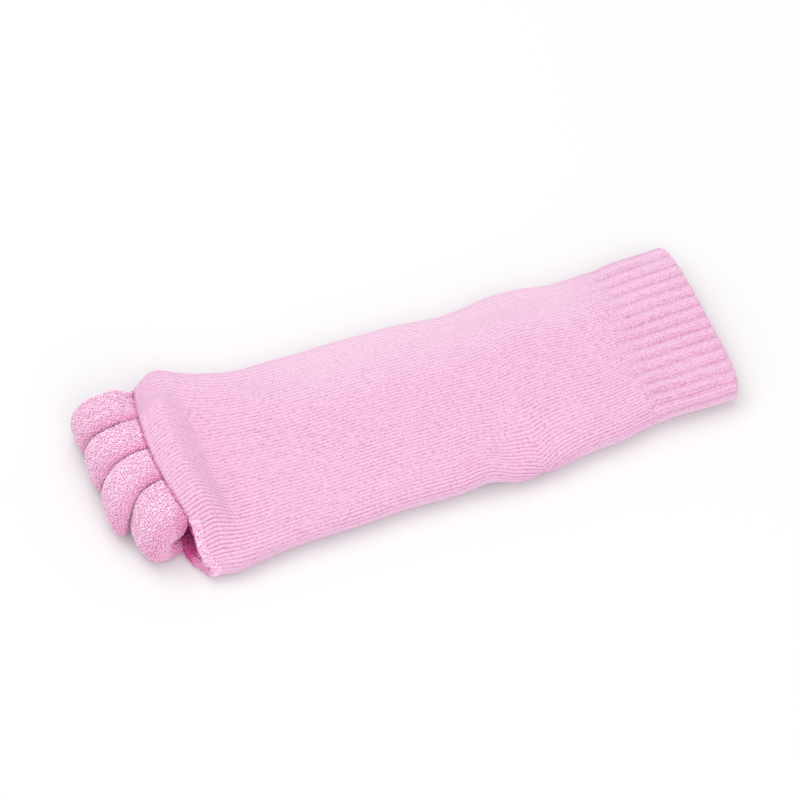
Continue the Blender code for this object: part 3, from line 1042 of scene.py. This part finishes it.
def terry_strip(lengths, inset, start, end, inwards, seed):
    """Places, normals, ways and depths for loops on the tube's cloth, from girth start to end."""
    dice = np.random.default_rng(seed)
    places = []
    normals = []
    ways = []
    depths = []
    wrapped = np.linspace(start, end, strip_samples) % 1.0
    turns = np.linspace(0.0, 1.0, strip_columns + 1)
    for row, length in enumerate(lengths):
        here = knit_ring(along_at(length), inset, strip_columns)
        ahead = knit_ring(along_at(length + strip_step), inset, strip_columns)
        line = np.column_stack([np.interp(wrapped, turns, here[:, axis]) for axis in range(3)])
        next_line = np.column_stack([np.interp(wrapped, turns, ahead[:, axis]) for axis in range(3)])
        walked = np.concatenate(((0.0,), np.cumsum(np.linalg.norm(np.diff(line, axis=0), axis=1))))
        count = int(walked[-1] / loop_side_pitch)
        at = (np.arange(count) + 0.5 + dice.uniform(-0.2, 0.2, count) + (row % 2) / 2) * loop_side_pitch
        spots = np.interp(at, walked, np.arange(len(line)))
        low = np.minimum(spots.astype(int), len(line) - 2)
        around = line[low + 1] - line[low]
        along = next_line[low] - line[low]
        normal = np.cross(around, along)
        normal /= np.linalg.norm(normal, axis=1)[:, None]
        centre = np.array((0.0, centre_y, Profile(0.0).crown / 2))
        away = ((line[low] - centre) * normal * (0.0, 0.25, 1.0)).sum(axis=1) > 0
        normal[away == inwards] *= -1
        places.append(line[low])
        normals.append(normal)
        ways.append(along)
        depths.append(np.full((count, 1), length))
    return np.vstack(places), np.vstack(normals), np.vstack(ways), np.vstack(depths)


hem_rows = np.arange(0.0006, hem_width, loop_row_pitch)
turned_out = terry_strip(hem_rows, 0.0, 0.13, last_girth, inwards=False, seed=21)
rim_rows = []
for row, share in enumerate((0.25, 0.55, 0.85)):
    inset = fabric_wall * share
    rim_rows.append(terry_strip((0.0003,), inset, 0.08, last_girth, inwards=False, seed=30 + row))
on_rim = [np.vstack(group) for group in zip(*rim_rows)]
on_rim[1][:] = (-1.0, 0.0, 0.0)
on_rim[2][:] = (0.0, 1.0, 0.0)
lip_rows = np.arange(0.0004, 0.006, loop_row_pitch)
lip_strips = []
for step, layer in enumerate(lip_layers):
    inset = fabric_wall + layer
    start = 0.08 + 25 * layer
    lip_strips.append(terry_strip(lip_rows, inset, start, 0.26, inwards=True, seed=40 + step))
lower_lip = [np.vstack(group) for group in zip(*lip_strips)]
inside_rows = np.arange(0.0002, terry_depth, loop_row_pitch)
inside = terry_strip(inside_rows, fabric_wall, -0.08, 0.40, inwards=True, seed=23)
strips = zip(turned_out, on_rim, lower_lip, inside)
places, normals, ways, depths = (np.vstack(group) for group in strips)
places = places - normals * hem_sink
points, faces, pile, tone = pile_loops(places, normals, ways, seed=24, size=mouth_loop_size)
# Painted shade inside the toe mouth: darker with depth from the rim and towards the fourth roll.
by_roll = ease((places[:, 1] - centre_y - shade_start_y) / shade_run_y)
shade = 0.3 + 1.7 * np.maximum(ease(depths.reshape(-1) / shade_depth), by_roll)
shade[:len(turned_out[0]) + len(on_rim[0])] = hem_shade
shade = np.repeat(shade, loop_rings * loop_sides)
points[:, 2] = np.maximum(points[:, 2], 0.00003)
mouth_terry = quad_piece("toe_mouth_terry", points, faces, pile=pile, tone=tone, crease=shade)
mouth_terry.data.materials.append(shaded_terry)
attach(mouth_terry, "root")


# Lip seam
# The row of small, uneven stitches that joins the four rolls to the upper lip of the toe mouth. It
# lies in the cleft between them, and painted deep shade of that cleft makes it a thin dark line.

seam_pitch = 0.0009
seam_wander = 0.00035
seam_shade = 1.50
seam_drop = 0.0006
seam_loop_size = 0.58

seam_y = np.arange(cleft_line(CLEFTS[-1], 0.0, 0.0), cleft_line(CLEFTS[0], 0.0, 0.0), seam_pitch)
dice = np.random.default_rng(26)
seam_x = mouth_x + lip_drawback(seam_y, 1.0) - seam_gap
seam_x = seam_x + dice.uniform(-seam_wander, seam_wander, len(seam_y))
seam_places = np.column_stack((seam_x, centre_y + seam_y, Profile(0.0).top(seam_y) - seam_drop))
seam_ways = np.gradient(seam_places, axis=0)
seam_normals = np.tile((-0.3, -0.3, 0.9), (len(seam_y), 1))
seam_normals /= np.linalg.norm(seam_normals, axis=1)[:, None]
points, faces, pile, tone = pile_loops(seam_places, seam_normals, seam_ways, seed=25, size=seam_loop_size)
# Painted deep shade of the cleft on the seam's stitches. Their loop highlights are halved.
shade = np.full(len(points), seam_shade)
lip_seam = quad_piece("lip_seam", points, faces, pile=pile * 0.5, tone=tone, crease=shade)
lip_seam.data.materials.append(shaded_terry)
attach(lip_seam, "root")


# Table, light and camera
# A plain white table under a big soft light that hangs over the sock and a little behind it, and the
# camera at the height and turn of the photograph.

bpy.ops.mesh.primitive_plane_add(size=6.0, location=(0.0, 0.0, 0.0))
table = bpy.context.object
table.name = "table"
paint = bpy.data.materials.new("table_white")
paint.use_nodes = True
paint_shader = paint.node_tree.nodes["Principled BSDF"]
paint_shader.inputs["Base Color"].default_value = (0.765, 0.753, 0.760, 1.0)
paint_shader.inputs["Roughness"].default_value = 0.8
paint_shader.inputs["Specular IOR Level"].default_value = 0.1
table.data.materials.append(paint)

world = bpy.data.worlds.new("studio")
bpy.context.scene.world = world
world.use_nodes = True
world.node_tree.nodes["Background"].inputs["Color"].default_value = (1.0, 1.0, 1.0, 1.0)
world.node_tree.nodes["Background"].inputs["Strength"].default_value = 0.87


def soft_light(name, place, target, size, power):
    """A square studio light that faces the target."""
    light = bpy.data.lights.new(name, "AREA")
    light.shape = "SQUARE"
    light.size = size
    light.energy = power
    lamp = bpy.data.objects.new(name, light)
    lamp.location = place
    lamp.rotation_euler = (Vector(target) - Vector(place)).to_track_quat("-Z", "Y").to_euler()
    bpy.context.scene.collection.objects.link(lamp)


sock_middle = (0.0, 0.0, 0.0)
soft_light("overhead_softbox", (-0.15, 0.55, 1.0), sock_middle, size=0.9, power=5.0)
soft_light("front_softbox", (-0.05, -0.95, 0.80), sock_middle, size=1.2, power=6.0)

camera_height = math.radians(55.5)
camera_turn = math.radians(-21.0)
camera_distance = 1.1
camera_aim = Vector((0.0, 0.0071, 0.0))
back = Vector((
    math.sin(camera_turn) * math.cos(camera_height),
    -math.cos(camera_turn) * math.cos(camera_height),
    math.sin(camera_height),
))
camera_lens = bpy.data.cameras.new("camera")
camera_lens.lens = 129.0
camera_lens.sensor_width = 36.0
camera = bpy.data.objects.new("camera", camera_lens)
camera.location = camera_aim + back * camera_distance
camera.rotation_euler = back.to_track_quat("Z", "Y").to_euler()
bpy.context.scene.collection.objects.link(camera)
bpy.context.scene.camera = camera
bpy.context.scene.view_settings.view_transform = "Standard"
